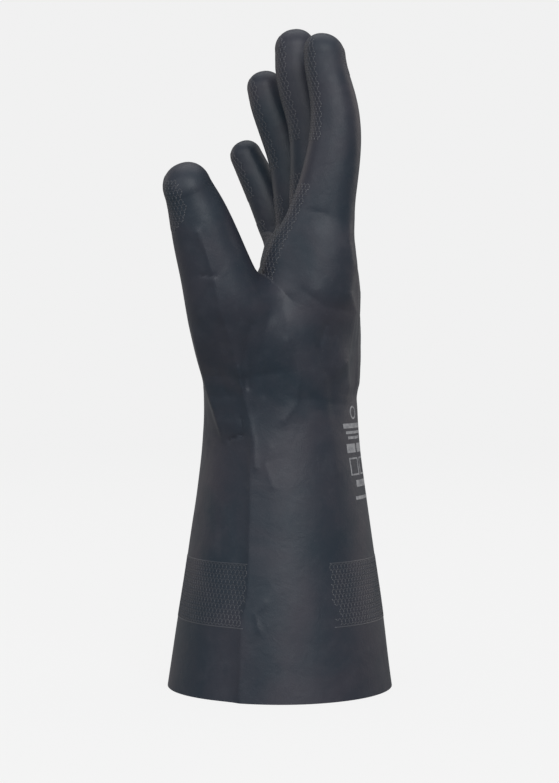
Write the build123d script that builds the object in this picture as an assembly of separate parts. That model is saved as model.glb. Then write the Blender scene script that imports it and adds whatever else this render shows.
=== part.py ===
"""A rubber insulating glove for the right hand, standing on its cuff with the fingers up.

The rubber shell is dipped in one go and a cotton flock lining is bonded inside it. Both layers are
divided where the glove bends: at the wrist, at the root and the middle of each finger, and at the root
and the middle of the thumb. A short flex band fills each bend. +X is the back of the hand, -X the palm,
-Y the thumb side and +Z the fingertips. The origin is on the floor in the middle of the whole glove's
extent, which the thumb makes lopsided.
"""

import math
import os

from build123d import *

# Driving sizes, in millimetres
RUBBER = 1.2  # wall of the rubber shell
FLOCK = 0.4  # wall of the cotton lining
HEM_SETBACK = 1.0  # the lining stops this far inside the cuff's edge
INK = 0.12  # thickness of the printed marks
WRIST_BAND = (154.0, 176.0)  # heights between which the wrist bends
AXIS_Y = 6.1  # the trunk's axis stands this far behind the origin
WEB_Z = 251.0  # height of the webs between the fingers

# Everything below is measured from the trunk's axis. Level rings of the trunk: height, middle in X, half
# thickness in X, half width in Y, turn about Z in degrees, and squareness (2 is an ellipse, more is squarer).
FOREARM = [
    (0.0, 0.0, 61.8, 57.5, 0.0, 2.0),
    (35.0, 0.2, 56.6, 53.5, 0.0, 2.0),
    (70.0, 0.4, 51.2, 49.6, 0.0, 2.0),
    (101.0, 0.6, 46.8, 46.4, 0.0, 2.0),
    (128.0, 0.4, 43.6, 43.8, 0.0, 2.0),
    (WRIST_BAND[0], 0.0, 42.4, 42.8, 0.0, 2.0),
    (WRIST_BAND[1], 0.4, 43.4, 44.6, 0.0, 2.0),
]
PALM = [
    (WRIST_BAND[1], 0.4, 43.4, 44.6, 0.0, 2.0),
    (185.0, 2.8, 41.8, 45.8, 1.0, 2.0),
    (197.0, 8.8, 35.8, 48.2, 4.0, 2.1),
    (211.0, 13.2, 30.6, 50.6, 8.0, 2.2),
    (228.0, 15.0, 25.4, 52.0, 11.0, 2.4),
    (241.0, 14.8, 20.4, 51.8, 12.5, 2.5),
    (WEB_Z, 14.4, 15.2, 50.0, 13.0, 2.5),
]
# The web of rubber between the thumb and the hand, as rings of the same kind but with a middle in Y too.
THUMB_WEB = [
    (180.0, 0.0, -24.0, 34.0, 19.0),
    (197.0, -3.0, -31.0, 29.0, 16.0),
    (211.0, -7.0, -36.5, 22.0, 12.5),
    (220.5, -10.0, -39.5, 13.0, 8.0),
]
RING_POINTS = 24  # points through which each level ring is drawn

# Each finger and the thumb leaves the hand at its root point, where its tube has already come depth through
# the hand, and leans towards the palm (a negative lean) or the back.
# length and lean have a value for the lower and the upper half; thick and wide are the half sizes of the
# tube at its root, at its middle joint and just under its rounded tip. root_band is the stretch that bends at
# the root, measured from the root point, and mid_half is half the stretch that bends at the middle joint.
DIGITS = {
    "index": {
        "root": (22.4, -38.6, 253.0),
        "length": (47.0, 49.6),
        "lean": (7.5, -5.1),
        "splay": 3.0,
        "thick": (16.4, 13.7, 10.8),
        "wide": (12.3, 12.2, 10.8),
        "root_band": (2.0, 18.0),
        "mid_half": 7.0,
        "depth": 28.0,
    },
    "middle": {
        "root": (20.4, -11.6, 254.0),
        "length": (50.0, 54.6),
        "lean": (-2.4, -12.2),
        "splay": 1.0,
        "thick": (15.6, 13.2, 10.8),
        "wide": (12.0, 12.0, 10.8),
        "root_band": (2.0, 18.0),
        "mid_half": 7.0,
        "depth": 28.0,
    },
    "ring": {
        "root": (12.0, 14.9, 252.0),
        "length": (39.0, 51.4),
        "lean": (-7.0, -19.0),
        "splay": -1.5,
        "thick": (14.4, 12.8, 10.4),
        "wide": (11.8, 11.6, 10.2),
        "root_band": (2.0, 18.0),
        "mid_half": 7.0,
        "depth": 28.0,
    },
    "little": {
        "root": (0.3, 40.4, 252.5),
        "length": (26.0, 29.5),
        "lean": (-24.0, -20.0),
        "splay": -4.0,
        "thick": (12.6, 10.6, 9.2),
        "wide": (11.0, 10.6, 9.2),
        "root_band": (2.0, 14.0),
        "mid_half": 5.5,
        "depth": 28.0,
    },
    "thumb": {
        "root": (-30.4, -46.0, 213.0),
        "length": (37.0, 34.0),
        "lean": (-15.6, -14.6),
        "splay": 11.0,
        "thick": (20.0, 16.8, 13.4),
        "wide": (19.0, 16.4, 13.4),
        "root_band": (8.0, 22.0),
        "mid_half": 6.0,
        "depth": 16.0,
    },
}
# The ball of the thumb: rings from the wrist to the thumb's root, as a middle, half sizes, lean and splay.
THUMB_BALL = [
    ((-8.5, -16.0, 178.0), 30.0, 24.0, -4.0, 6.0),
    ((-17.0, -27.0, 191.0), 29.5, 24.5, -8.0, 9.0),
    ((-24.2, -37.0, 202.5), 25.0, 22.0, -12.0, 10.0),
    ((-31.3, -46.6, 216.2), 19.6, 18.6, -15.6, 11.0),
]
HINGE_INSET = 3.0  # each bend's axis lies this much nearer the palm than the tube's middle

# Printed marks on the back of the forearm: kind, middle in Y, middle in Z, width, height.
MARKS = [
    ("ring", -16.5, 149.6, 7.2, 7.2),
    ("bar", -16.0, 142.6, 22.0, 2.6),
    ("bar", -16.0, 139.0, 19.0, 1.5),
    ("bar", -16.0, 136.2, 16.0, 1.5),
    ("bar", -21.5, 130.6, 9.0, 4.8),
    ("bar", -9.5, 130.6, 11.0, 4.8),
    ("frame", -20.5, 120.8, 9.5, 9.5),
    ("frame", -9.0, 120.8, 9.5, 9.5),
    ("bar", -13.0, 111.6, 17.0, 3.6),
    ("bar", -12.0, 104.0, 24.0, 1.8),
]
MARK_LINE = 0.9  # width of the line that draws a ring or a frame

BIG = 400.0  # larger than the glove, for cutting


def level_ring(z, x, y, thick, wide, turn=0.0, square=2.0):
    """A level face with half sizes thick and wide, turned about Z."""
    points = []
    for i in range(RING_POINTS):
        a = 2 * math.pi * i / RING_POINTS
        c, s = math.cos(a), math.sin(a)
        u = thick * math.copysign(abs(c) ** (2 / square), c)
        v = wide * math.copysign(abs(s) ** (2 / square), s)
        points.append((u, v))
    outline = make_face(Spline(*points, periodic=True))
    return Pos(x, y, z) * Rot(0, 0, turn) * outline


def trunk(rows, inset, top_inset=0.0):
    """Part of the trunk as a solid, every ring taken in by inset and the last lowered by top_inset."""
    rings = []
    for z, x, thick, wide, turn, square in rows:
        z = z - top_inset if z == rows[-1][0] else z
        rings.append(level_ring(z, x, 0, thick - inset, wide - inset, turn, square))
    return loft(rings)


def pointing(lean, splay):
    """The direction that leans towards +X and splays towards -Y, in degrees from upright."""
    out = Vector(math.tan(math.radians(lean)), -math.tan(math.radians(splay)), 1)
    return out.normalized()


def to_back(along):
    """The direction square to along that points most nearly to the back of the hand."""
    return (Vector(1, 0, 0) - along * along.X).normalized()


def oval(at, along, thick, wide):
    """An elliptical face at a point, square to along, with its thickness towards the back."""
    return Plane(origin=at, x_dir=to_back(along), z_dir=along) * Ellipse(thick, wide)


class Stall:
    """The tube for one finger or the thumb: two straight halves with a soft bend between them."""

    def __init__(self, spec):
        self.spec = spec
        self.root = Vector(*spec["root"])
        self.lower, self.upper = spec["length"]
        self.dirs = [pointing(lean, spec["splay"]) for lean in spec["lean"]]
        self.mid = self.root + self.dirs[0] * self.lower
        self.mid_band = (self.lower - spec["mid_half"], self.lower + spec["mid_half"])

    def frame(self, s):
        """The point at distance s along the tube from its root, and the tube's direction there."""
        if abs(s - self.lower) < 1:
            return self.mid, (self.dirs[0] + self.dirs[1]).normalized()
        if s < self.lower:
            return self.root + self.dirs[0] * s, self.dirs[0]
        return self.mid + self.dirs[1] * (s - self.lower), self.dirs[1]

    def neck(self):
        """The distance at which the rounded tip starts."""
        return self.lower + self.upper - self.spec["thick"][2]

    def size(self, s):
        """Half thickness and half width at distance s, interpolated between root, middle and tip."""
        out = []
        for root, mid, end in (self.spec["thick"], self.spec["wide"]):
            if s < self.lower:
                out.append(root + (mid - root) * s / self.lower)
            else:
                out.append(mid + (end - mid) * min(1.0, (s - self.lower) / (self.neck() - self.lower)))
        return out

    def solid(self, inset):
        """The whole tube as a solid, taken in by inset, starting inside the hand."""
        at, along = self.frame(-self.spec["depth"])
        rings = [oval(at, along, self.spec["thick"][0] * 0.8 - inset, self.spec["wide"][0] * 0.9 - inset)]
        neck = self.neck()
        for s in (0.0, self.lower / 2, self.lower, (self.lower + neck) / 2, neck):
            at, along = self.frame(s)
            thick, wide = self.size(s)
            rings.append(oval(at, along, thick - inset, wide - inset))
        radius = self.spec["thick"][2] - inset
        thick, wide = self.size(neck)
        for angle in (25, 48, 66, 79, 86):
            at, along = self.frame(neck + radius * math.sin(math.radians(angle)))
            shrink = math.cos(math.radians(angle))
            rings.append(oval(at, along, (thick - inset) * shrink, (wide - inset) * shrink))
        return loft(rings)

    def cutter(self, start, end):
        """A slab square to the tube that holds what lies between distances start and end along it."""
        at_start, along_start = self.frame(start)
        at_end, along_end = self.frame(end)
        above = Plane(origin=at_start, z_dir=along_start) * Pos(0, 0, BIG / 2) * Box(BIG, BIG, BIG)
        below = Plane(origin=at_end, z_dir=along_end) * Pos(0, 0, -BIG / 2) * Box(BIG, BIG, BIG)
        return above & below

    def stretches(self):
        """The named stretches beyond the hand, each with where it starts and ends along the tube."""
        return {
            "root_flex": self.spec["root_band"],
            "base": (self.spec["root_band"][1], self.mid_band[0]),
            "middle_flex": self.mid_band,
            "tip": (self.mid_band[1], self.lower + self.upper + 5),
        }


def level_slab(low, high):
    """Everything between two heights."""
    return Pos(0, 0, (low + high) / 2) * Box(BIG, BIG, high - low)


def whole(shape, crumb=1.0):
    """The shape's solids as one, without any crumb smaller than this many cubic millimetres."""
    solids = [s for s in shape.solids() if s.volume > crumb]
    return solids[0] if len(solids) == 1 else Compound(children=solids)


def mark(kind, y, z, width, height):
    """One printed mark as a prism through the back of the forearm."""
    if kind == "ring":
        flat = Circle(width / 2) - Circle(width / 2 - MARK_LINE)
    elif kind == "frame":
        flat = Rectangle(width, height) - Rectangle(width - 2 * MARK_LINE, height - 2 * MARK_LINE)
    else:
        flat = Rectangle(width, height)
    return Plane(origin=(0, y, z), x_dir=(0, 1, 0), z_dir=(1, 0, 0)) * extrude(flat, BIG / 2)


# Three nested shapes bound the two layers: outside of the rubber, rubber to flock, inside of the flock.
INSETS = (0.0, RUBBER, RUBBER + FLOCK)
STALLS = {name: Stall(spec) for name, spec in DIGITS.items()}

forearms = [trunk(FOREARM, inset) for inset in INSETS]
tubes = {name: [stall.solid(inset) for inset in INSETS] for name, stall in STALLS.items()}
hands = []
for inset in INSETS:
    hand = trunk(PALM, inset, inset)
    web = [level_ring(z - inset, x, y, thick - inset, wide - inset) for z, x, y, thick, wide in THUMB_WEB]
    ball = [
        oval(Vector(*at), pointing(lean, splay), thick - inset, wide - inset)
        for at, thick, wide, lean, splay in THUMB_BALL
    ]
    hands.append((hand + loft(web) + loft(ball)) & level_slab(WRIST_BAND[1], BIG))
for name, stall in STALLS.items():
    for index in range(len(INSETS)):
        hands[index] += tubes[name][index] & stall.cutter(-BIG / 2, stall.spec["root_band"][0])

parts = {}
for index, kind in enumerate(("shell", "lining")):
    forearm = forearms[index] - forearms[index + 1]
    parts[f"gauntlet_{kind}"] = whole(forearm & level_slab(index * HEM_SETBACK, WRIST_BAND[0]))
    parts[f"wrist_flex_{kind}"] = whole(forearm & level_slab(*WRIST_BAND))
    parts[f"hand_{kind}"] = whole(hands[index] - hands[index + 1])
    for name, stall in STALLS.items():
        tube = tubes[name][index] - tubes[name][index + 1]
        for stretch, (start, end) in stall.stretches().items():
            parts[f"{name}_{stretch}_{kind}"] = whole(tube & stall.cutter(start, end))

ink_layer = trunk(FOREARM, -INK) - forearms[0]
marks = [ink_layer & mark(*row) for row in MARKS]
parts["printed_marks"] = whole(Compound(children=[s for m in marks for s in m.solids()]), 0.1)

os.makedirs("parts", exist_ok=True)
for name, shape in parts.items():
    export_step(Pos(0, AXIS_Y, 0) * shape, f"parts/{name}.step")
    print(name, round(shape.volume, 1), len(shape.solids()), shape.is_valid)
for name, stall in STALLS.items():
    for label, s in (("root", sum(stall.spec["root_band"]) / 2), ("middle", stall.lower)):
        at, along = stall.frame(s)
        at -= to_back(along) * HINGE_INSET
        print("hinge", name, label, [round(v, 2) for v in (at.X, at.Y + AXIS_Y, at.Z)])
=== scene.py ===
import math

import bmesh
import bpy
import numpy as np
import openvdb
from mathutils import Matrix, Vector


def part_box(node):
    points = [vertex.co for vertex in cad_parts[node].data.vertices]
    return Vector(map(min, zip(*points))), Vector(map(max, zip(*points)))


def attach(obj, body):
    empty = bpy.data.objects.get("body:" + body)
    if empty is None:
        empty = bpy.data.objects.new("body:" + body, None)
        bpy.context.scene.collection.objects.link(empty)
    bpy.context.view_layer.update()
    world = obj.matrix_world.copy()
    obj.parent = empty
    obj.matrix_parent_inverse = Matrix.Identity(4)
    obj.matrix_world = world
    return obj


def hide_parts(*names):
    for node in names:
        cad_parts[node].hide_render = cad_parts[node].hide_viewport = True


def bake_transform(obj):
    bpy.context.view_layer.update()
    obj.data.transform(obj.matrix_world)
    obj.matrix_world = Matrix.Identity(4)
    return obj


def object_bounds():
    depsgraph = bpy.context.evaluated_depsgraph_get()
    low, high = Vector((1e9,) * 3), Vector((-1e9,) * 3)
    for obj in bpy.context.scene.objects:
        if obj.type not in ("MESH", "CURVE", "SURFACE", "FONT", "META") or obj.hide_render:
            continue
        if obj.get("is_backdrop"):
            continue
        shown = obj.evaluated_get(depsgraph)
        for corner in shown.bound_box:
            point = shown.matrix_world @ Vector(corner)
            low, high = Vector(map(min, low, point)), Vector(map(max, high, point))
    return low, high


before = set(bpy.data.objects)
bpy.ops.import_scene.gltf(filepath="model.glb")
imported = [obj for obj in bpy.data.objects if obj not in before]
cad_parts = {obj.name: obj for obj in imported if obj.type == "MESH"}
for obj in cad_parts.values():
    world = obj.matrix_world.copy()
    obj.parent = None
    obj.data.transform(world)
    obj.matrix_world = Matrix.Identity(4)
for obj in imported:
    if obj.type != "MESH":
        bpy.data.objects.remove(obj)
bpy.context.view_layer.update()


# ---- The dipped rubber shell ---------------------------------------------------------------------
# One wall of dark synthetic rubber, 1.2 mm thick, that runs from the cut cuff to the fingertips
# with no seams. It is made on a glazed form of a hand and forearm, dipped fingers down, and takes
# its shape.
WALL = 1.2
MM = 0.001  # a millimetre in metres

# The form's sizes are in millimetres, measured from the forearm's axis.
mouth_low, mouth_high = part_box("gauntlet_shell")
AXIS = np.array([0.0, 500 * (mouth_low.y + mouth_high.y), 0.0])

# Forearm and palm: height, middle in X, half thickness, half width, turn in degrees, squareness.
TRUNK = [
    (-14, 0.0, 63.6, 59.0, 0.0, 2.0),
    (0, 0.0, 61.6, 57.3, 0.0, 2.0),
    (35, 0.2, 56.6, 53.5, 0.0, 2.0),
    (70, 0.4, 51.3, 49.6, 0.0, 2.0),
    (101, 0.6, 46.9, 46.4, 0.0, 2.0),
    (128, 0.4, 43.7, 43.8, 0.0, 2.0),
    (150, 0.2, 42.2, 42.6, 0.0, 2.0),
    (170, 1.0, 42.6, 44.0, 0.0, 2.0),
    (184, 3.4, 40.6, 45.8, 1.0, 2.0),
    (197, 8.8, 35.6, 48.0, 4.0, 2.1),
    (211, 13.2, 30.6, 50.2, 8.0, 2.2),
    (228, 15.0, 25.4, 51.6, 11.0, 2.4),
    (241, 14.8, 20.4, 51.4, 12.5, 2.5),
    (251, 14.6, 17.0, 50.0, 13.0, 2.5),
    (270, 14.6, 15.0, 49.0, 13.0, 2.5),
]
WEB_HEIGHT = 250.0  # the webs between the fingers
KNUCKLE_FILL = 9.0  # how softly the palm's sides turn into the webs
CORNER = 5  # how softly every given size runs into the next one
TUBE_SQUARENESS = 2.15  # 2 is a true oval

# Finger and thumb tubes: points of the middle line, each with its half thickness and half width;
# how far the tip reaches past the last of them; and how widely the corner with the palm is filled.
TUBES = {
    "index": {
        "line": [(13.6, -35.5, 216, 23.6, 12.0), (15.4, -36.4, 229, 24.6, 12.0),
            (17.7, -37.5, 239, 23.1, 12.1), (20.2, -38.4, 249, 18.8, 12.2),
            (23.1, -39.2, 261, 16.4, 12.3), (26.0, -40.0, 274, 15.4, 12.3),
            (28.0, -40.6, 285, 14.7, 12.3), (29.6, -41.2, 297, 13.6, 12.1),
            (29.2, -41.8, 310, 12.6, 11.9), (27.0, -42.4, 321, 12.0, 11.5),
            (24.4, -43.0, 330, 11.3, 11.1), (22.9, -43.4, 338, 10.4, 10.7)],
        "tip": 11.0,
        "fillet": 5.0,
    },
    "middle": {
        "line": [(22.6, -11.1, 222, 15.6, 11.2), (20.8, -11.6, 254, 15.6, 11.9),
            (19.6, -12.0, 279, 14.2, 12.0), (18.0, -12.5, 304, 13.1, 11.9),
            (12.4, -12.8, 323, 12.7, 11.6), (9.0, -13.1, 337, 11.9, 11.3),
            (8.4, -13.2, 346, 10.6, 10.6)],
        "tip": 10.9,
        "fillet": 5.0,
    },
    "ring": {
        "line": [(15.4, 14.2, 224, 11.8, 11.0), (12.0, 14.9, 252, 14.2, 11.8),
            (9.6, 15.4, 271, 13.5, 11.8), (6.6, 15.9, 290.7, 12.8, 11.5),
            (-1.6, 16.5, 312, 11.8, 11.0), (-6.0, 16.8, 322, 11.0, 10.6),
            (-8.0, 16.9, 329, 10.0, 10.0)],
        "tip": 10.5,
        "fillet": 5.0,
    },
    "little": {
        "line": [(12.6, 38.2, 225, 10.4, 10.2), (0.3, 40.4, 252.5, 12.4, 11.0),
            (-4.9, 41.2, 264, 11.5, 10.8), (-10.3, 42.0, 276, 10.6, 10.6),
            (-15.0, 42.6, 286, 10.0, 10.0), (-19.2, 43.2, 294.6, 9.0, 9.3)],
        "tip": 9.2,
        "fillet": 5.0,
    },
    "thumb": {
        "line": [(-3.0, -9.0, 158, 34.0, 29.0), (-8.5, -16.0, 176, 33.0, 27.0),
            (-17.0, -27.0, 191, 30.2, 24.8), (-24.4, -37.0, 203, 25.2, 22.0),
            (-30.2, -45.6, 213, 20.8, 19.2), (-34.4, -48.9, 227, 18.8, 17.4),
            (-38.6, -51.8, 240, 17.4, 16.3), (-41.8, -54.4, 250.4, 15.9, 15.4),
            (-44.6, -56.4, 259.5, 14.0, 14.2), (-47.8, -57.6, 267, 12.0, 12.5)],
        "tip": 12.6,
        "fillet": 10.0,
    },
    "thumb_web": {
        "line": [(0.0, -22.0, 174, 34.0, 20.0), (-3.0, -31.0, 193, 28.0, 15.0),
            (-7.0, -36.5, 205, 20.0, 11.0), (-10.0, -39.0, 211, 13.0, 8.0)],
        "tip": 6.5,
        "fillet": 9.0,
    },
}
DIGITS = ("index", "middle", "ring", "little", "thumb")


def rounded(heights, values, at, soft):
    """Values given at some heights, read at others, with corners rounded over soft millimetres."""
    beyond = 30
    grid = np.arange(heights[0] - beyond, heights[-1] + beyond, 1.0)
    kernel = np.exp(-0.5 * (np.arange(-4 * soft, 4 * soft + 1) / soft) ** 2)
    flat = np.interp(grid, heights, values)
    padded = np.pad(flat, len(kernel) // 2, mode="edge")
    return np.interp(at, grid, np.convolve(padded, kernel / kernel.sum(), mode="valid"))


def oval_distance(parts, power):
    """How far outside an oval a point is, from pairs of offset and half size."""
    ratios = [(np.abs(offset) / half, half) for offset, half in parts]
    k = sum(r**power for r, _ in ratios) ** (1 / power) + 1e-6
    slope = k ** (1 - power) * np.sqrt(sum((r ** (power - 1) / half) ** 2 for r, half in ratios))
    return (k - 1) / (slope + 1e-4)


def soft_min(a, b, k):
    """The lower of two distances, with the corner where they meet filled over k millimetres."""
    h = np.clip(k - np.abs(a - b), 0, None)
    return np.minimum(a, b) - h * h / (4 * k)


def trunk_distance(p):
    """Distance to the forearm and palm's part of the form, negative inside."""
    rows = np.array(TRUNK, float)
    z = p[:, 2]
    x, thick, wide, turn, square = (rounded(rows[:, 0], c, z, CORNER) for c in rows[:, 1:].T)
    turn = np.radians(turn)
    dx, dy = p[:, 0] - x, p[:, 1]
    u = dx * np.cos(turn) + dy * np.sin(turn)
    v = dy * np.cos(turn) - dx * np.sin(turn)
    side = oval_distance([(u, thick), (v, wide)], square)
    return -soft_min(-side, WEB_HEIGHT - z, KNUCKLE_FILL)


class Tube:
    """A finger's or the thumb's part of the form."""

    def __init__(self, line, tip, fillet):
        line = np.array(line, float)
        self.start, self.end, self.tip, self.fillet = line[0, :3], line[-1, :3], tip, fillet
        self.along = (self.end - self.start) / np.linalg.norm(self.end - self.start)
        self.back = np.array([1.0, 0, 0]) - self.along * self.along[0]
        self.back /= np.linalg.norm(self.back)
        self.side = np.cross(self.along, self.back)  # towards the little finger
        away = line[:, :3] - self.start
        self.t = away @ self.along
        self.bow = (away @ self.back, away @ self.side)
        self.half = (line[:, 3], line[:, 4])
        self.neck = self.t[-1]
        close = np.array([self.neck - 1, self.neck])
        # how the tip points: the middle line's last direction, carried on past the neck
        self.lean = [float(np.diff(rounded(self.t, b, close, CORNER))[0]) for b in self.bow]

    def middle(self, t):
        """The point of the middle line at distance t along the chord."""
        t = np.asarray(t, float)
        off = [rounded(self.t, b, t, CORNER) for b in self.bow]
        return (self.start + t[..., None] * self.along + off[0][..., None] * self.back
                + off[1][..., None] * self.side)

    def at_height(self, z):
        """The distance along the chord at which the middle line reaches a height."""
        t = np.linspace(0, self.neck + self.tip, 600)
        return float(np.interp(z, self.middle(t)[:, 2], t))

    def distance(self, p):
        """Distance to the tube, negative inside."""
        away = p - self.start
        t = away @ self.along
        inner, over = np.clip(t, 0, self.neck), np.clip(t - self.neck, 0, None)
        u = away @ self.back - rounded(self.t, self.bow[0], inner, CORNER) - self.lean[0] * over
        v = away @ self.side - rounded(self.t, self.bow[1], inner, CORNER) - self.lean[1] * over
        thick, wide = (rounded(self.t, h, inner, CORNER) for h in self.half)
        beyond = over + np.clip(-t, 0, None)
        return oval_distance([(u, thick), (v, wide), (beyond, self.tip)], TUBE_SQUARENESS)


tubes = {name: Tube(**spec) for name, spec in TUBES.items()}

# Folds and ridges that the rubber sets into, by the side they show on, given as a direction: points
# as (X or Y, height), how proud they stand (a groove is negative) and how wide they are.
THUMB_SIDE, PALM_SIDE, BACK_SIDE, LITTLE_SIDE = (0, -1, 0), (-1, 0, 0), (1, 0, 0), (0, 1, 0)
FOLDS = {
    THUMB_SIDE: [
        ([(-42, 243), (-38, 233), (-34, 220), (-31, 204), (-26, 189),
          (-22, 173), (-20, 163)], 0.9, 3.0),
        ([(-22, 173), (-19.4, 160), (-15.8, 146), (-13.6, 134), (-13, 122)], 0.8, 2.8),
        ([(-15, 196), (-17, 186), (-19, 176), (-17, 164)], -1.0, 3.4),
        ([(-30, 196), (-34, 178), (-28, 160)], -0.7, 5.0),
        ([(4, 188), (10, 172), (9, 156), (2, 146)], 0.6, 3.5),
        ([(24, 196), (20, 184), (24, 172)], -0.8, 3.0),
        ([(12, 214), (24, 206), (36, 204)], -0.4, 4.0),
        ([(-5, 132), (-8, 124), (-4, 112)], 0.35, 3.0),
        ([(-8, 52), (-13, 46), (-11, 38)], 0.4, 2.2),
        ([(-40.5, 221.5), (-33, 221)], -0.5, 1.6),
        ([(-36, 216), (-40, 208)], -0.5, 2.4),
        ([(-27, 135.5), (-24, 137), (-20, 138)], -0.8, 1.4),
        ([(-20, 138), (-20.5, 147)], -0.6, 1.4),
        ([(27, 190), (26, 170), (28, 150)], -0.9, 6.0),
        ([(-6, 200), (-10, 180), (-8, 160)], -0.7, 5.0),
        ([(15, 256), (24, 254)], -0.25, 2.4),
        ([(20, 214), (26, 190), (24, 160), (30, 120)], 0.6, 7.0),
        ([(2, 205), (8, 186), (4, 160)], -0.6, 7.0),
        ([(-40, 170), (-20, 168), (0, 172)], -0.45, 4.0),
        ([(12, 158), (34, 154)], -0.5, 5.0),
    ],
    PALM_SIDE: [
        ([(-30, 205), (-8, 212), (20, 206), (44, 214)], -0.8, 3.0),
        ([(-20, 232), (8, 228), (40, 234)], -0.7, 2.4),
        ([(-26, 168), (0, 165), (26, 168)], -0.5, 5.0),
    ],
    BACK_SIDE: [
        ([(-8, 250), (-16, 225), (-14, 195), (-8, 165)], 0.7, 4.0),
        ([(14, 250), (8, 225), (4, 195), (0, 165)], 0.7, 4.0),
        ([(-34, 250), (-30, 225), (-20, 190)], 0.6, 4.0),
        ([(38, 246), (28, 220), (14, 190)], 0.6, 4.0),
        ([(-26, 160), (0, 157), (26, 160)], -0.5, 6.0),
    ],
    LITTLE_SIDE: [
        ([(-18, 150), (-20, 100), (-24, 40), (-25, -5)], 1.0, 7.0),
        ([(24, 165), (26, 120), (30, 60)], 0.7, 9.0),
    ],
}
# Laps on the thumb side, as (X, height): the rubber stands proud on the left of the line, going
# along it, and turns away in a sunken face on its right. Each has how proud, how sunk, and the
# reach over which both die away.
LAP_FADE = 14  # how far from its ends a lap reaches its full height
LAP_EDGE = 0.6  # how sharp its edge is
LAPS = [
    ([(-15, 146), (-16, 134), (-16.3, 95), (-17.4, 54), (-20.8, 40), (-22, -16)], 0.35, 1.5, 15.0),
    ([(-48, 200), (-43.5, 176), (-40.5, 163), (-36.5, 151), (-30.5, 132)], 2.5, 0.8, 8.0),
    ([(34, 148), (37.5, 164), (36.2, 178), (38.5, 190), (40.8, 204),
      (37.6, 214), (39.4, 228), (37, 240), (37, 254)], 0.4, 1.4, 6.0),
    ([(-19, 188), (-17, 172), (-18.5, 158)], -0.6, -0.5, 8.0),
]
# The slow unevenness of a dipped wall: each swell's direction and pace, its start and its strength.
SWELL_HEIGHT = 0.075
rng = np.random.default_rng(7)
SWELLS = [
    (rng.normal(size=3) * [1, 1, 0.8] / rng.uniform(11, 24),
     rng.uniform(0, 6.28), rng.uniform(0.4, 1))
    for _ in range(26)
]


def off_line(points, across, height, sided=False):
    """How far points lie from a bent line, and if sided the same, positive on the line's left."""
    nearest = np.full(len(across), 1e9)
    away = np.zeros(len(across))
    for (x0, z0), (x1, z1) in zip(points, points[1:]):
        run = np.array([x1 - x0, z1 - z0], float)
        along = np.clip(((across - x0) * run[0] + (height - z0) * run[1]) / (run @ run), 0, 1)
        off = np.hypot(across - x0 - along * run[0], height - z0 - along * run[1])
        if sided:
            side = np.sign(run[0] * (height - z0) - run[1] * (across - x0))
            away = np.where(off < nearest, side * off, away)
        nearest = np.minimum(nearest, off)
    return nearest, away


def fold_relief(p, points, proud, width, facing):
    """One fold: a rounded crest or groove that fades where the skin turns away from its side."""
    seen_along_x = abs(facing[0])
    nearest, _ = off_line(points, p[:, 1] if seen_along_x else p[:, 0], p[:, 2])
    middle = 8.0 if seen_along_x else 0.0
    turned = np.clip(((p[:, 0] - middle) * facing[0] + p[:, 1] * facing[1]) / 12, 0, 1)
    crest = 0.25 * width
    return proud * turned * np.exp(-(np.sqrt(nearest**2 + crest**2) - crest) / (0.6 * width))


def lap_relief(p, points, proud, sunk, reach):
    """One lap: a sharp step with a crest above it and a sunken face below it."""
    _, away = off_line(points, p[:, 0], p[:, 2], sided=True)
    lowest, highest = sorted((points[0][1], points[-1][1]))
    ends = (np.clip((highest - p[:, 2]) / LAP_FADE, 0, 1)
            * np.clip((p[:, 2] - lowest) / LAP_FADE, 0, 1))
    ends = ends * ends * (3 - 2 * ends)
    step = 0.5 + 0.5 * np.tanh(away / LAP_EDGE)
    far = np.abs(away) / reach
    face = 1.65 * far * np.exp(1 - 1.65 * far)
    on_thumb_side = np.clip((6 - p[:, 1]) / 18, 0, 1)
    return ends * on_thumb_side * (proud * step * np.exp(-far) - sunk * (1 - step) * face)


def relief(p):
    """How far the rubber stands proud of the form."""
    total = np.zeros(len(p))
    for pace, start, strength in SWELLS:
        total += SWELL_HEIGHT * strength * np.sin(p @ pace + start)
    for facing, folds in FOLDS.items():
        for fold in folds:
            total += fold_relief(p, *fold, facing)
    for lap in LAPS:
        total += lap_relief(p, *lap)
    return total


def skin(p, which=DIGITS):
    """Distance to the rubber's outer face, negative inside, with the named digits on."""
    body = soft_min(trunk_distance(p), tubes["thumb_web"].distance(p), tubes["thumb_web"].fillet)
    out = np.full(len(p), 1e9)
    for name in which:
        out = np.minimum(out, soft_min(body, tubes[name].distance(p), tubes[name].fillet))
    return out - relief(p)


def outward(p, which=DIGITS):
    """The skin's slope at points: its outward direction and its steepness."""
    step = 0.25
    slope = np.stack([skin(p + step * e, which) - skin(p - step * e, which)
                      for e in np.eye(3)], axis=1)
    slope /= 2 * step
    steep = np.linalg.norm(slope, axis=1, keepdims=True)
    return slope / (steep + 1e-9), steep


LEAST_SLOPE, MOST_MOVE = 0.3, 1.5  # what keeps a point from being thrown about where the skin folds


def onto_skin(p, which=DIGITS, rounds=4, depth=0.0):
    """Points moved square to the skin until they lie on it, or depth inside it."""
    for _ in range(rounds):
        out, steep = outward(p, which)
        move = (skin(p, which)[:, None] + depth) / np.clip(steep, LEAST_SLOPE, None)
        p = p - np.clip(move, -MOST_MOVE, MOST_MOVE) * out
    return p


def on_ray(origin, direction, reach, which):
    """The points where rays from inside the form leave its skin."""
    low, high = np.zeros(len(origin)), np.full(len(origin), float(reach))
    for _ in range(14):
        mid = (low + high) / 2
        inside = skin(origin + mid[:, None] * direction, which) < 0
        low, high = np.where(inside, mid, low), np.where(inside, high, mid)
    return origin + low[:, None] * direction


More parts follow.
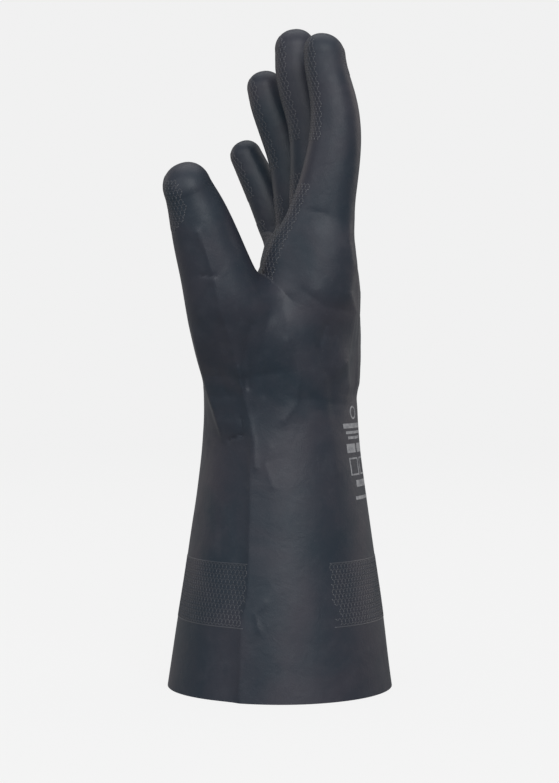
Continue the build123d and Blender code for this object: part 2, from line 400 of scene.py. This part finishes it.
# The skin is divided only where the glove bends, at levels where its parts ride together: heights
# of the middle line at which the root's bend starts and ends, and at which the middle's does.
BENDS = {
    "index": (255.0, 271.0, 292.6, 306.6),
    "middle": (256.0, 272.0, 297.0, 310.8),
    "ring": (254.0, 270.0, 283.8, 297.4),
    "little": (254.3, 265.2, 271.2, 281.2),
    "thumb": (220.6, 233.8, 242.0, 252.8),
}


class Socket:
    """A shader socket that adds up, so that a node tree reads as arithmetic."""

    def __init__(self, tree, out):
        self.tree, self.out = tree, out

    def _math(self, operation, *values):
        return node(self.tree, "ShaderNodeMath", {"operation": operation}, dict(enumerate(values)))

    def __add__(self, other):
        return self._math("ADD", self, other)

    def __sub__(self, other):
        return self._math("SUBTRACT", self, other)

    def __mul__(self, other):
        return self._math("MULTIPLY", self, other)

    def __rsub__(self, other):
        return self._math("SUBTRACT", other, self)

    __radd__, __rmul__ = __add__, __mul__


def node(tree, kind, settings=None, inputs=None, out=0):
    """A node of this type with its settings and inputs set, as the socket it gives."""
    made = tree.nodes.new(kind)
    for name, value in (settings or {}).items():
        setattr(made, name, value)
    for name, value in (inputs or {}).items():
        if isinstance(value, Socket):
            tree.links.new(value.out, made.inputs[name])
        else:
            made.inputs[name].default_value = value
    return Socket(tree, made.outputs[out])


def noise(tree, scale, detail=3.0, rough=0.5, distort=0.0):
    """An uneven value that is fixed to the piece, with scale in turns to the metre."""
    at = node(tree, "ShaderNodeTexCoord", out=3)
    return node(tree, "ShaderNodeTexNoise", {}, {
        "Vector": at, "Scale": scale, "Detail": detail,
        "Roughness": rough, "Distortion": distort})


def span(value, low, high, to_low=0.0, to_high=1.0):
    """A value's range mapped to another, held at its ends."""
    return node(value.tree, "ShaderNodeMapRange", {"interpolation_type": "SMOOTHSTEP"}, {
        "Value": value, "From Min": low, "From Max": high,
        "To Min": to_low, "To Max": to_high})


def mixed(tree, factor, a, b):
    """Colour a turning to colour b."""
    return node(tree, "ShaderNodeMix", {"data_type": "RGBA"}, {0: factor, 6: a, 7: b}, out=2)


def new_material(name):
    """A material with its node tree and its surface shader."""
    made = bpy.data.materials.new(name)
    made.use_nodes = True
    return made, made.node_tree, made.node_tree.nodes["Principled BSDF"]


FLOW_TINT = (0.066, 0.070, 0.084, 1)  # faint marks where the wet rubber ran
BLOOM_TINT = (0.070, 0.066, 0.078, 1)  # the pale film that comes to the surface
SPECK_TINT = (0.11, 0.115, 0.13, 1)  # dust in the grain


def make_rubber(name, deep, paler_tone, rough_low, rough_high):
    """Dipped rubber: blue-black, drifting to violet grey in patches, with a fine flow grain."""
    made, tree, shader = new_material(name)
    drift = noise(tree, 17, 3, 0.5, 0.8)
    mottle = noise(tree, 46, 4, 0.6, 0.5)
    streak = noise(tree, 120, 3, 0.6)
    bloom = span(noise(tree, 23, 5, 0.62, 0.9), 0.50, 0.74)
    speck = span(noise(tree, 900, 2, 0.6), 0.68, 0.80)
    patches = span(drift * 0.75 + mottle * 0.25, 0.34, 0.66)
    tone = mixed(tree, patches, (*deep, 1), (*paler_tone, 1))
    tone = mixed(tree, span(streak, 0.45, 0.75) * 0.12, tone, FLOW_TINT)
    tone = mixed(tree, bloom * 0.16, tone, BLOOM_TINT)
    tone = mixed(tree, speck * 0.25, tone, SPECK_TINT)
    tree.links.new(tone.out, shader.inputs["Base Color"])
    rough = span(mottle * 0.5 + bloom * 0.5, 0.2, 0.75, rough_low, rough_high)
    tree.links.new(rough.out, shader.inputs["Roughness"])
    shader.inputs["Specular IOR Level"].default_value = 0.30
    soft = noise(tree, 90, 3, 0.55, 0.4)
    fine = noise(tree, 1500, 2, 0.55)
    bump = node(tree, "ShaderNodeBump", {}, {
        "Strength": 0.4, "Distance": 0.0008, "Height": soft + fine * 0.10})
    tree.links.new(bump.out, shader.inputs["Normal"])
    return made


rubber = make_rubber("slate_rubber", deep=(0.015, 0.024, 0.035), paler_tone=(0.032, 0.032, 0.043),
                     rough_low=0.44, rough_high=0.60)


def new_piece(name, points, faces, normals, material):
    """A mesh piece from millimetre points about the forearm's axis, shaded by the skin's slope."""
    mesh = bpy.data.meshes.new(name)
    mesh.from_pydata(((points + AXIS) * MM).tolist(), [], [list(map(int, f)) for f in faces])
    mesh.update()
    mesh.polygons.foreach_set("use_smooth", np.ones(len(mesh.polygons), bool))
    mesh.materials.append(material)
    if normals is not None:
        mesh.normals_split_custom_set_from_vertices(normals.tolist())
    piece = bpy.data.objects.new(name, mesh)
    bpy.context.scene.collection.objects.link(piece)
    return piece


def walled(points, faces, normals, wall):
    """A skin given thickness inwards, with its open edges closed, as points, faces and normals."""
    count = len(points)
    seen = {(a, b): True for f in faces for a, b in zip(f, (*f[1:], f[0]))}
    rims = [(a, b) for a, b in seen if (b, a) not in seen]
    inner = [tuple(i + count for i in reversed(f)) for f in faces]
    faces = [tuple(f) for f in faces] + inner
    edge, extra, extra_normals = {}, [], []
    points = np.vstack([points, points - wall * normals])
    normals = np.vstack([normals, -normals])
    for a, b in rims:
        corners = []
        for i in (b, a, a + count, b + count):
            along = points[a] - points[b]
            if i not in edge:
                edge[i] = len(points) + len(extra)
                extra.append(points[i])
                out = np.cross(normals[i], along)
                out = out / (np.linalg.norm(out) + 1e-9) * (1 if i < count else -1)
                extra_normals.append(out)
            corners.append(edge[i])
        faces.append(tuple(corners))
    return np.vstack([points, extra]), faces, np.vstack([normals, extra_normals])


def whose_faces(bm, name, centre, rise):
    """The faces that belong to one digit and stand higher than rise along it from centre."""
    middles = np.array([f.calc_center_median() for f in bm.faces])
    mine = np.argmin([tubes[n].distance(middles) for n in DIGITS], axis=0) == DIGITS.index(name)
    mine &= (middles - centre) @ tubes[name].along > rise
    return [f for f, one in zip(bm.faces, mine) if one]


HAND_ROOM = np.array([-66.0, -80.0, -9.0]), np.array([66.0, 62.0, 292.0])
EVERY = 4  # the rough look at the form takes every fourth point


def dipped_hand(grain, depth, floor):
    """The hand's and gauntlet's skin at a depth in the rubber, cut at the floor and each root."""
    low, high = HAND_ROOM
    counts = np.ceil((high - low) / grain).astype(int)
    axes = [low[i] + grain * np.arange(counts[i]) for i in range(3)]
    field = np.empty(counts, np.float32)
    xx, yy = np.meshgrid(axes[0], axes[1], indexing="ij")
    few_x, few_y = xx[::EVERY, ::EVERY], yy[::EVERY, ::EVERY]
    for k, z in enumerate(axes[2]):  # a rough look, then a close one near the skin
        rough = skin(np.stack([few_x.ravel(), few_y.ravel(), np.full(few_x.size, z)], axis=1))
        rough = rough.reshape(few_x.shape).repeat(EVERY, axis=0).repeat(EVERY, axis=1)
        rough = rough[:counts[0], :counts[1]]
        near = np.abs(rough + depth) < 9 + 3 * grain
        field[:, :, k] = rough + depth
        close = skin(np.stack([xx[near], yy[near], np.full(near.sum(), z)], axis=1))
        field[:, :, k][near] = close + depth
    grid = openvdb.FloatGrid()
    grid.copyFromArray(np.clip(field, -4 * grain, 4 * grain))
    points, quads = grid.convertToQuads(isovalue=0.0)
    points = onto_skin(points.astype(float) * grain + low, depth=depth)
    bm = bmesh.new()
    verts = [bm.verts.new(p) for p in points]
    for q in quads:
        bm.faces.new([verts[i] for i in q])
    bmesh.ops.recalc_face_normals(bm, faces=bm.faces[:])
    bmesh.ops.bisect_plane(bm, geom=bm.verts[:] + bm.edges[:] + bm.faces[:],
                           plane_co=(0, 0, floor), plane_no=(0, 0, 1), clear_inner=True)
    for name in DIGITS:
        tube = tubes[name]
        centre = tube.middle(np.array([tube.at_height(BENDS[name][0])]))[0]
        near = whose_faces(bm, name, centre, -6)  # from a little below the cut
        rim = list({e for f in near for e in f.edges}) + list({v for f in near for v in f.verts})
        bmesh.ops.bisect_plane(bm, geom=rim + near, plane_co=centre, plane_no=tube.along)
        bmesh.ops.delete(bm, geom=whose_faces(bm, name, centre, 0), context="FACES")
    bm.verts.index_update()
    points = np.array([v.co for v in bm.verts])
    faces = [tuple(v.index for v in f.verts) for f in bm.faces]
    bm.free()
    return points, faces


def facing_out(points, faces):
    """The faces, turned to have their front outside, and the skin's outward directions."""
    normals, _ = outward(points)
    f = faces[len(faces) // 2]
    a, b, c = points[list(f[:3])]
    if np.cross(b - a, c - b) @ normals[f[0]] < 0:
        faces = [tuple(reversed(f)) for f in faces]
    return faces, normals


points, faces = dipped_hand(grain=1.5, depth=0.0, floor=0.0)
faces, normals = facing_out(points, faces)
hand = new_piece("hand_and_gauntlet", *walled(points, faces, normals, WALL), rubber)
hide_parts("gauntlet_shell", "wrist_flex_shell", "hand_shell")


def wrist_blend(piece):
    """Bakes the piece's placement into its points."""
    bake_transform(piece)


wrist_blend(hand)


FULL_TURN = np.linspace(0, 2 * math.pi, 85)[:-1]
CLOSED_TIP = 88  # how far round the tip the last ring lies, in degrees
ROUND_TIP = 55  # degrees of turn over which a ring moves about one tip's reach


def digit_rows(name, t_from, t_to, pitch, angles=FULL_TURN, depth=0.0, lid=0, reach=30):
    """Rows of points round a digit's skin, from t_from to t_to or over the tip to lid degrees."""
    tube = tubes[name]
    turns = len(angles)
    around = np.cos(angles)[:, None] * tube.back + np.sin(angles)[:, None] * tube.side
    top = tube.neck - 2 if lid else t_to
    levels = np.linspace(t_from, top, max(2, int(round((top - t_from) / pitch)) + 1))
    rings = int(round(lid / ROUND_TIP * tube.tip / pitch))
    rises = np.radians(np.linspace(0, lid, rings + 1)[1:]) if lid else []
    origins = [np.repeat(tube.middle(np.array([t])), turns, axis=0)
               for t in [*levels, *[top] * len(rises)]]
    rays = [around] * len(levels)
    rays += [math.cos(a) * around + math.sin(a) * tube.along for a in rises]
    flat = on_ray(np.vstack(origins), np.vstack(rays), reach, (name,))
    if depth:
        flat = flat - depth * outward(flat, (name,))[0]
    return flat.reshape(-1, turns, 3)


def tube_faces(rows, lid):
    """Quads between the rings, and a fan over the last ring when lid is set."""
    turns = len(rows[0])
    points = rows.reshape(-1, 3)
    faces = []
    for i in range(len(rows) - 1):
        for j in range(turns):
            k = (j + 1) % turns
            below, above = i * turns, (i + 1) * turns
            faces.append((below + j, below + k, above + k, above + j))
    if lid:
        last = (len(rows) - 1) * turns
        points = np.vstack([points, points[last:].mean(axis=0)])
        faces += [(last + j, last + (j + 1) % turns, len(points) - 1)
                  for j in range(turns)]
    return points, faces


def digit_blend(piece, name, part):
    """Works out where the piece's joint starts and ends, which is not used further, and bakes the
    piece's placement into its points.
    """
    tube = tubes[name]
    low, high = BENDS[name][:2] if part == "lower" else BENDS[name][2:]
    t_low, t_high = tube.at_height(low), tube.at_height(high)
    start = tube.middle(np.array([t_low]))[0]
    end = start + (t_high - t_low) * tube.along
    tuple((start + AXIS) * MM)
    tuple((end + AXIS) * MM)
    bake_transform(piece)


def digit_piece(name, part, kind, pitch, angles, depth, wall, material):
    """The lower or the upper half of one digit, as a walled tube."""
    tube = tubes[name]
    root, middle = tube.at_height(BENDS[name][0]), tube.at_height(BENDS[name][2])
    lid = CLOSED_TIP if part == "upper" else 0
    rows = digit_rows(name, middle if lid else root, middle, pitch, angles, depth, lid)
    points, faces = tube_faces(rows, lid)
    normals, _ = outward(points, (name,))
    piece = new_piece(f"{name}_{part}_{kind}", *walled(points, faces, normals, wall), material)
    ends = ("root_flex", "base") if part == "lower" else ("middle_flex", "tip")
    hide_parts(*(f"{name}_{end}_{kind}" for end in ends))
    digit_blend(piece, name, part)
    return piece


for name in DIGITS:
    for part in ("lower", "upper"):
        piece = digit_piece(name, part, "shell", pitch=1.1, angles=FULL_TURN,
                            depth=0.0, wall=WALL, material=rubber)


# ---- The cotton flock lining ---------------------------------------------------------------------
# Short off-white cotton fibres blown on to wet rubber cover the whole inside. They are fast to the
# rubber and bend with it, so the lining is one skin too, divided where the rubber is.
FLOCK = 0.4
UNDER_WALL = WALL + 0.02  # it starts a hair inside the rubber
HEM_SETBACK = 1.0  # the lining stops this far short of the cut edge

flock, tree, shader = new_material("cotton_flock")
tuft = noise(tree, 900, 4, 0.7)
matting = noise(tree, 60, 4, 0.6, 0.5)
matted, loose, lifted = (0.52, 0.50, 0.45, 1), (0.70, 0.68, 0.63, 1), (0.82, 0.80, 0.76, 1)
fibres = mixed(tree, span(matting, 0.35, 0.68), matted, loose)
fibres = mixed(tree, span(tuft, 0.35, 0.60) * 0.55, fibres, lifted)
tree.links.new(fibres.out, shader.inputs["Base Color"])
shader.inputs["Roughness"].default_value = 0.95
shader.inputs["Specular IOR Level"].default_value = 0.15
shader.inputs["Sheen Weight"].default_value = 0.35
shader.inputs["Sheen Roughness"].default_value = 0.6
nap = node(tree, "ShaderNodeBump", {}, {
    "Strength": 0.8, "Distance": 0.0005, "Height": tuft + matting * 0.6})
tree.links.new(nap.out, shader.inputs["Normal"])

points, faces = dipped_hand(grain=2.4, depth=UNDER_WALL, floor=HEM_SETBACK)
faces, normals = facing_out(points, faces)
lining = new_piece("hand_and_gauntlet_lining",
                   *walled(points, faces, normals, FLOCK), flock)
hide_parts("gauntlet_lining", "wrist_flex_lining", "hand_lining")
wrist_blend(lining)
for name in DIGITS:
    for part in ("lower", "upper"):
        piece = digit_piece(name, part, "lining", pitch=2.0, angles=FULL_TURN[::2],
                            depth=UNDER_WALL, wall=FLOCK, material=flock)


# ---- The moulded grip ----------------------------------------------------------------------------
# Thin raised lines of the same rubber, left by grooves in the form: a honeycomb of tall cells on
# the palm side of each finger, on the thumb's pad, over the palm, and in a band on each face of the
# cuff.
CELL = (2.4, 1.5, 1.1)  # a cell's width, its upright sides' length and its slanted sides' rise
LINE = [  # a raised line's section: sideways, up from the skin
    (0.34, -0.30), (0.36, -0.03), (0.22, 0.10), (0.0, 0.18),
    (-0.22, 0.10), (-0.36, -0.03), (-0.34, -0.30),
]
PATCH_STEP = 0.5  # how closely a patch is laid flat
# The raised lines are the same rubber as the skin, but both their tones are set about twice as
# light as the skin's: a painted highlight along their crests, with a little less roughness.
raised = make_rubber("raised_rubber_painted_highlight", deep=(0.040, 0.046, 0.056), paler_tone=(0.072, 0.072, 0.082),
                     rough_low=0.38, rough_high=0.50)


class Patch:
    """A piece of the skin laid flat: height up its middle line, and distance round from it."""

    def __init__(self, rows, middle):
        steps = np.linalg.norm(np.diff(rows, axis=1), axis=2)
        away = np.pad(np.cumsum(steps, axis=1), ((0, 0), (1, 0)))
        away -= away[:, middle:middle + 1]
        self.s = np.arange(math.floor(away.min()), math.ceil(away.max()) + 1, PATCH_STEP)
        level = [[np.interp(self.s, a, c, left=np.nan, right=np.nan) for c in row.T]
                 for a, row in zip(away, rows)]
        self.points = np.array(level).transpose(0, 2, 1)
        climb = np.linalg.norm(np.diff(rows[:, middle], axis=0), axis=1)
        self.h = rows[0, middle, 2] + np.concatenate([[0], np.cumsum(climb)])

    def at(self, h, s):
        """The points of the skin at flat places, with no number where the patch doesn't reach."""
        i = np.clip(np.searchsorted(self.h, h) - 1, 0, len(self.h) - 2)
        up = ((h - self.h[i]) / (self.h[i + 1] - self.h[i]))[:, None]
        k = (s - self.s[0]) / PATCH_STEP
        j = np.clip(k.astype(int), 0, len(self.s) - 2)
        on = (k - j)[:, None]
        low = (1 - on) * self.points[i, j] + on * self.points[i, j + 1]
        high = (1 - on) * self.points[i + 1, j] + on * self.points[i + 1, j + 1]
        inside = (h >= self.h[0]) & (h <= self.h[-1]) & (k >= 0) & (k <= len(self.s) - 1)
        return np.where(inside[:, None], (1 - up) * low + up * high, np.nan)


def laid(patch, lines, keep=None):
    """Flat lines laid on a patch: the stretches of each that lie on it, and where keep is true."""
    found = []
    for h, s in lines:
        p = patch.at(h, s)
        on = ~np.isnan(p).any(axis=1)
        if keep is not None:
            on &= keep(h, s, np.nan_to_num(p))
        ends = np.nonzero(np.diff(on.astype(int)))[0] + 1
        for stretch in np.split(np.arange(len(h)), ends):
            if len(stretch) > 1 and on[stretch[0]]:
                found.append(p[stretch])
    return found


def honeycomb(h_low, h_high, s_low, s_high):
    """The flat lines of a honeycomb: its slanted rows and the uprights between them."""
    width, upright, slant = CELL
    columns = np.arange(int(round(2 * (s_high - s_low) / width)) + 1)
    s = s_low + columns * width / 2
    rows = int((h_high - h_low - slant) / (upright + slant))
    for i in range(rows + 1):
        up = (columns + i) % 2
        h = h_low + i * (upright + slant) + slant * up
        yield h, s
        if i < rows:
            for k in columns[up == 1]:
                yield np.array([h[k], h[k] + upright]), s[[k, k]]


def ridge_piece(name, lines, which=DIGITS):
    """A piece made of closed thin ridges that follow lines over the skin."""
    points = onto_skin(np.vstack(lines), which, rounds=2)
    out, _ = outward(points, which)
    verts, faces, start = [], [], 0
    ring = np.arange(len(LINE))
    after = np.roll(ring, -1)
    for line in lines:
        p, up = points[start:start + len(line)], out[start:start + len(line)]
        base = start * len(LINE)
        start += len(line)
        along = np.gradient(p, axis=0)
        across = np.cross(up, along)
        across /= np.linalg.norm(across, axis=1, keepdims=True) + 1e-9
        rings = np.stack([p + a * across + b * up for a, b in LINE], axis=1)
        verts.append(rings.reshape(-1, 3))
        for i in range(len(p) - 1):
            low, high = base + i * len(LINE), base + (i + 1) * len(LINE)
            faces += zip(low + ring, low + after, high + after, high + ring)
        faces.append(tuple(base + ring[::-1]))
        faces.append(tuple(base + (len(p) - 1) * len(LINE) + ring))
    piece = new_piece(name, np.vstack(verts), faces, None, raised)
    return piece


def digit_patch(name, z_from, z_to, low_angle, high_angle, lid=0, reach=30):
    """A patch of a digit's skin between two heights and two angles, counted from the back."""
    tube = tubes[name]
    angles = np.radians(np.arange(low_angle, high_angle + 1, 4.0))
    rows = digit_rows(name, tube.at_height(z_from), tube.at_height(z_to), 2.0, angles,
                      0.0, lid, reach)
    return Patch(rows, len(angles) // 2)


def level_patch(z_from, z_to, facing, low_angle, high_angle, which):
    """A patch of the forearm's or palm's skin, round from the palm side (-1) or the back (1)."""
    heights = np.linspace(z_from, z_to, int((z_to - z_from) / 2) + 1)
    angles = np.radians(np.arange(low_angle, high_angle + 1, 2.0))
    middles = np.interp(heights, [row[0] for row in TRUNK], [row[1] for row in TRUNK])
    origins = np.array([(x, 0, z) for x, z in zip(middles, heights)])
    origins = origins.repeat(len(angles), axis=0)
    fan = np.stack([facing * np.cos(angles), np.sin(angles), 0 * angles], axis=1)
    rays = np.tile(fan, (len(heights), 1))
    rows = on_ray(origins, rays, 80, which).reshape(len(heights), len(angles), 3)
    return Patch(rows, len(angles) // 2)


# Lower and upper blocks of each finger: the heights where the lower one starts and ends, where the
# upper one starts, and half its width round the finger.
FINGER_GRIP = {
    "index": (252, 278, 292, 12.6),
    "middle": (252, 281, 296, 12.4),
    "ring": (251, 271, 283, 11.2),
    "little": (250, 260, 269, 10.0),
}
# How far towards the back the index finger's lower block reaches, as height and X.
BLOCK_EDGE = [(208, -6.5), (216, -4.5), (227, -1.5), (240, 3.4),
              (248, 7.2), (262, 13.2), (272, 17.6), (280, 18.0)]
PAD = (18, 16.5, 261)  # the thumb pad's block: half its width, half its height, its middle's height
CLEAR_OF_THUMB = 9  # the palm's block stops this far from the ball of the thumb
BAND = (38.9, 71.2)  # heights between which the cuff's honeycomb runs
BORDERS = (38.2, 71.6)  # heights of the plain lines below and above it
BAND_REACH = {"palm": 70, "back": 60}  # how far round the cuff each band runs, in degrees each way

for name, (low_from, low_to, up_from, half) in FINGER_GRIP.items():
    half = CELL[0] * round(half / CELL[0] * 2) / 2
    if name == "index":  # its lower block runs on down the side of the hand
        patch = digit_patch(name, 210, 279, 118, 262, reach=44)
        heights, edges = zip(*BLOCK_EDGE)
        lines = laid(patch, honeycomb(212, low_to, -16 * CELL[0], 16 * CELL[0]),
                     lambda h, s, p: (p[:, 0] < np.interp(p[:, 2], heights, edges))
                     & np.where(p[:, 2] < low_from, p[:, 1] < -27, abs(s) < half + 3)
                     & (tubes["thumb"].distance(p) > 2.5))
    else:
        patch = digit_patch(name, low_from - 1, low_to + 1, 112, 248)
        lines = laid(patch, honeycomb(low_from, low_to, -half, half))
    piece = ridge_piece(f"{name}_lower_grip", lines)
    digit_blend(piece, name, "lower")
    patch = digit_patch(name, up_from - 1, up_from, 112, 248, lid=52)
    lines = laid(patch, honeycomb(up_from, patch.h[-1], -half, half),
                 lambda h, s, p: s**2 / half**2
                 + np.clip((h - patch.h[-1] + 9) / 9, 0, None) ** 2 < 1.05)
    if name == "index":  # a small block on the back of the fingertip
        nail = digit_patch(name, 326, 327, -44, 44, lid=40)
        lines += laid(nail, honeycomb(327.5, 342, -3 * CELL[0], 3 * CELL[0]))
    piece = ridge_piece(f"{name}_upper_grip", lines, (name,))
    digit_blend(piece, name, "upper")

pad = digit_patch("thumb", 242, 243, 110, 268, lid=50)
lines = laid(pad, honeycomb(243, pad.h[-1], -8 * CELL[0], 8 * CELL[0]),
             lambda h, s, p: (s / PAD[0]) ** 2 + ((h - PAD[2]) / PAD[1]) ** 2 < 1)
piece = ridge_piece("thumb_upper_grip", lines, ("thumb",))
digit_blend(piece, "thumb", "upper")

palm = level_patch(182, 251, facing=-1, low_angle=-76, high_angle=76, which=DIGITS[:4])
lines = laid(palm, honeycomb(184, palm.h[-1], -25 * CELL[0], 25 * CELL[0]),
             lambda h, s, p: (p[:, 1] > np.where(p[:, 2] > 214, -26.5, -24)) & (p[:, 2] < 251)
             & (tubes["thumb"].distance(p) > CLEAR_OF_THUMB)
             & (tubes["thumb_web"].distance(p) > 2))
piece = ridge_piece("palm_grip", lines)
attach(piece, "hand")

for side, facing in (("palm", -1), ("back", 1)):
    around = BAND_REACH[side]
    band = level_patch(30, 76, facing, -around, around, ("index",))
    edge = 54.0 * math.radians(around)
    wander = rng.uniform(-2.2, 2.2, 40)  # the honeycomb's ends are ragged
    wander_at = np.linspace(30, 76, 40)
    lines = laid(band, honeycomb(*BAND, -CELL[0] * 29, CELL[0] * 29),
                 lambda h, s, p: abs(s) < edge - 2.5 + np.interp(h, wander_at, wander))
    across = np.arange(-edge, edge, 1.3)
    lines += laid(band, [(np.full(len(across), h), across) for h in BORDERS])
    piece = ridge_piece(f"cuff_{side}_grip", lines, ("index",))
    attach(piece, "gauntlet")


# ---- The printed marks ---------------------------------------------------------------------------
# A block of pale marks printed with a stencil on the back of the forearm: a ring over blank bars
# and two frames, standing for the real one's mark and lines of text. They are a film of ink fast to
# the rubber.
MARKS = [  # kind, sideways place, height, width, height of the mark
    ("ring", -16.5, 149.6, 7.2, 7.2),
    ("bar", -16.0, 142.6, 22.0, 2.6),
    ("bar", -16.0, 139.0, 19.0, 1.5),
    ("bar", -16.0, 136.2, 16.0, 1.5),
    ("bar", -21.5, 130.6, 9.0, 4.8),
    ("bar", -9.5, 130.6, 11.0, 4.8),
    ("frame", -20.5, 120.8, 9.5, 9.5),
    ("frame", -9.0, 120.8, 9.5, 9.5),
    ("bar", -13.0, 111.6, 17.0, 3.6),
    ("bar", -12.0, 104.0, 24.0, 1.8),
]
MARK_LINE = 0.9  # how broad the lines of the ring and frames are
INK = (-0.10, 0.07)  # how deep the film sits in the skin and how far it stands out

ink, tree, shader = new_material("pale_ink")
patchy = span(noise(tree, 240, 4, 0.65), 0.30, 0.62)
thin, full = (0.165, 0.170, 0.185, 1), (0.300, 0.305, 0.320, 1)
film = mixed(tree, patchy, thin, full)
tree.links.new(film.out, shader.inputs["Base Color"])
shader.inputs["Roughness"].default_value = 0.6
shader.inputs["Specular IOR Level"].default_value = 0.3


def mark_strips(kind, y, z, width, height):
    """A mark as strips of quads: two rows of flat points, and whether the strip is closed."""
    if kind == "ring":
        turn = np.linspace(0, 2 * math.pi, 41)[:-1]
        circle = np.stack([np.cos(turn), np.sin(turn)], axis=1)
        return [((y, z) + circle * width / 2,
                 (y, z) + circle * (width / 2 - MARK_LINE), True)]
    if kind == "frame":
        corners = np.array([(-1, -1), (1, -1), (1, 1), (-1, 1), (-1, -1)]) / 2
        at = np.linspace(0, 4, 4 * 8 + 1)[:-1]
        square = np.stack([np.interp(at, range(5), c) for c in corners.T], axis=1)
        return [((y, z) + square * width, (y, z) + square * (width - 2 * MARK_LINE), True)]
    count = max(3, int(width / 1.2))
    along = np.linspace(y - width / 2, y + width / 2, count)
    rows = max(1, round(height / 1.8))
    levels = np.linspace(z - height / 2, z + height / 2, rows + 1)
    return [(np.stack([along, 0 * along + a], axis=1),
             np.stack([along, 0 * along + b], axis=1), False)
            for a, b in zip(levels, levels[1:])]


verts, faces = [], []
for mark in MARKS:
    for first, second, closed in mark_strips(*mark):
        count = len(first)
        flat = np.vstack([first, second])
        start = np.stack([0 * flat[:, 0], flat[:, 0], flat[:, 1]], axis=1)
        ray = np.tile([1.0, 0, 0], (len(flat), 1))
        found = on_ray(start, ray, 70, ("index",))
        out, _ = outward(found, ("index",))
        base = sum(map(len, verts))
        verts += [found + INK[0] * out, found + INK[1] * out]
        low, high = base, base + 2 * count
        for i in range(count if closed else count - 1):
            k = (i + 1) % count
            faces += [(high + i, high + k, high + count + k, high + count + i),
                      (low + i, low + count + i, low + count + k, low + k),
                      (low + i, low + k, high + k, high + i),
                      (low + count + k, low + count + i, high + count + i, high + count + k)]
        if not closed:
            last = count - 1
            faces += [(low, high, high + count, low + count),
                      (low + last, low + count + last, high + count + last, high + last)]
marks = new_piece("printed_marks_film", np.vstack(verts), faces, None, ink)
marks.data.polygons.foreach_set("use_smooth", np.zeros(len(marks.data.polygons), bool))
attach(marks, "gauntlet")
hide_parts("printed_marks")


# ---- The floor, the light and the camera ---------------------------------------------------------
# The glove stands on its cuff on a plain pale sweep, lit by large soft panels, and is seen level
# from the thumb side.
SWEEP_RADIUS, SWEEP_CURVE, SWEEP_TOP = 2.4, 1.0, 5.0  # a round floor that curves up into a wall


def plain(name, colour, rough, glow):
    """A matt material that gives off its own even light."""
    made, _, shader = new_material(name)
    shader.inputs["Base Color"].default_value = (*colour, 1)
    shader.inputs["Roughness"].default_value = rough
    shader.inputs["Specular IOR Level"].default_value = 0.0
    shader.inputs["Emission Color"].default_value = (1.0, 1.0, 1.0, 1)
    shader.inputs["Emission Strength"].default_value = glow
    return made


outline = [(SWEEP_RADIUS, 0.0)]
outline += [(SWEEP_RADIUS + SWEEP_CURVE * math.sin(a), SWEEP_CURVE - SWEEP_CURVE * math.cos(a))
            for a in np.linspace(0.1, math.pi / 2, 14)]
outline += [(SWEEP_RADIUS + SWEEP_CURVE, SWEEP_TOP)]
sweep = bmesh.new()
turns = 96
rings = [[sweep.verts.new((r * math.cos(a), r * math.sin(a), z))
          for a in 2 * math.pi * np.arange(turns) / turns] for r, z in outline]
sweep.faces.new(rings[0])
for low, high in zip(rings, rings[1:]):
    for i in range(turns):
        sweep.faces.new((low[i], low[i - 1], high[i - 1], high[i]))
mesh = bpy.data.meshes.new("sweep")
sweep.to_mesh(mesh)
sweep.free()
floor = bpy.data.objects.new("sweep", mesh)
mesh.polygons.foreach_set("use_smooth", np.ones(len(mesh.polygons), bool))
mesh.materials.append(plain("pale_sweep", (0.05, 0.05, 0.05), 1.0, 0.855))
bpy.context.scene.collection.objects.link(floor)
floor.visible_glossy = floor.visible_diffuse = False  # only the panels light the glove
floor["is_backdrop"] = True

PANELS = [  # name, place, size, power, colour
    ("key_panel", (0.35, -1.8, 1.0), 1.5, 29, (0.97, 0.985, 1.0)),
    ("fill_panel", (-1.2, -1.5, 0.9), 1.4, 9, (0.94, 0.97, 1.0)),
    ("top_panel", (0.0, 0.2, 2.0), 1.8, 13, (1.0, 1.0, 1.0)),
    ("left_edge_panel", (-1.5, 0.9, 0.7), 1.2, 2.5, (1.0, 0.86, 0.78)),
    ("right_edge_panel", (1.5, 0.7, 0.7), 1.2, 5, (1.0, 0.88, 0.81)),
]
GLOVE_MIDDLE = (0, 0, 0.2)  # where every panel aims
for name, place, size, power, colour in PANELS:
    lamp = bpy.data.lights.new(name, "AREA")
    lamp.size, lamp.energy, lamp.color = size, power, colour
    panel = bpy.data.objects.new(name, lamp)
    panel.location = place
    aim = Vector(GLOVE_MIDDLE) - Vector(place)
    panel.rotation_euler = aim.to_track_quat("-Z", "Y").to_euler()
    bpy.context.scene.collection.objects.link(panel)

world = bpy.data.worlds.new("soft_room")
world.use_nodes = True
world.node_tree.nodes["Background"].inputs["Color"].default_value = (0.93, 0.94, 0.95, 1)
world.node_tree.nodes["Background"].inputs["Strength"].default_value = 0.34
bpy.context.scene.world = world
bpy.context.scene.view_settings.view_transform = "Standard"

CAMERA_AWAY, CAMERA_HEIGHT = 0.95, 0.181
camera = bpy.data.objects.new("camera", bpy.data.cameras.new("camera"))
camera.location = (-0.0003, AXIS[1] * MM - CAMERA_AWAY, CAMERA_HEIGHT)
camera.rotation_euler = (math.pi / 2, 0, 0)
camera.data.lens = 79.5
camera.data.shift_y = -0.0475
bpy.context.scene.collection.objects.link(camera)
bpy.context.scene.camera = camera

low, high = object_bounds()
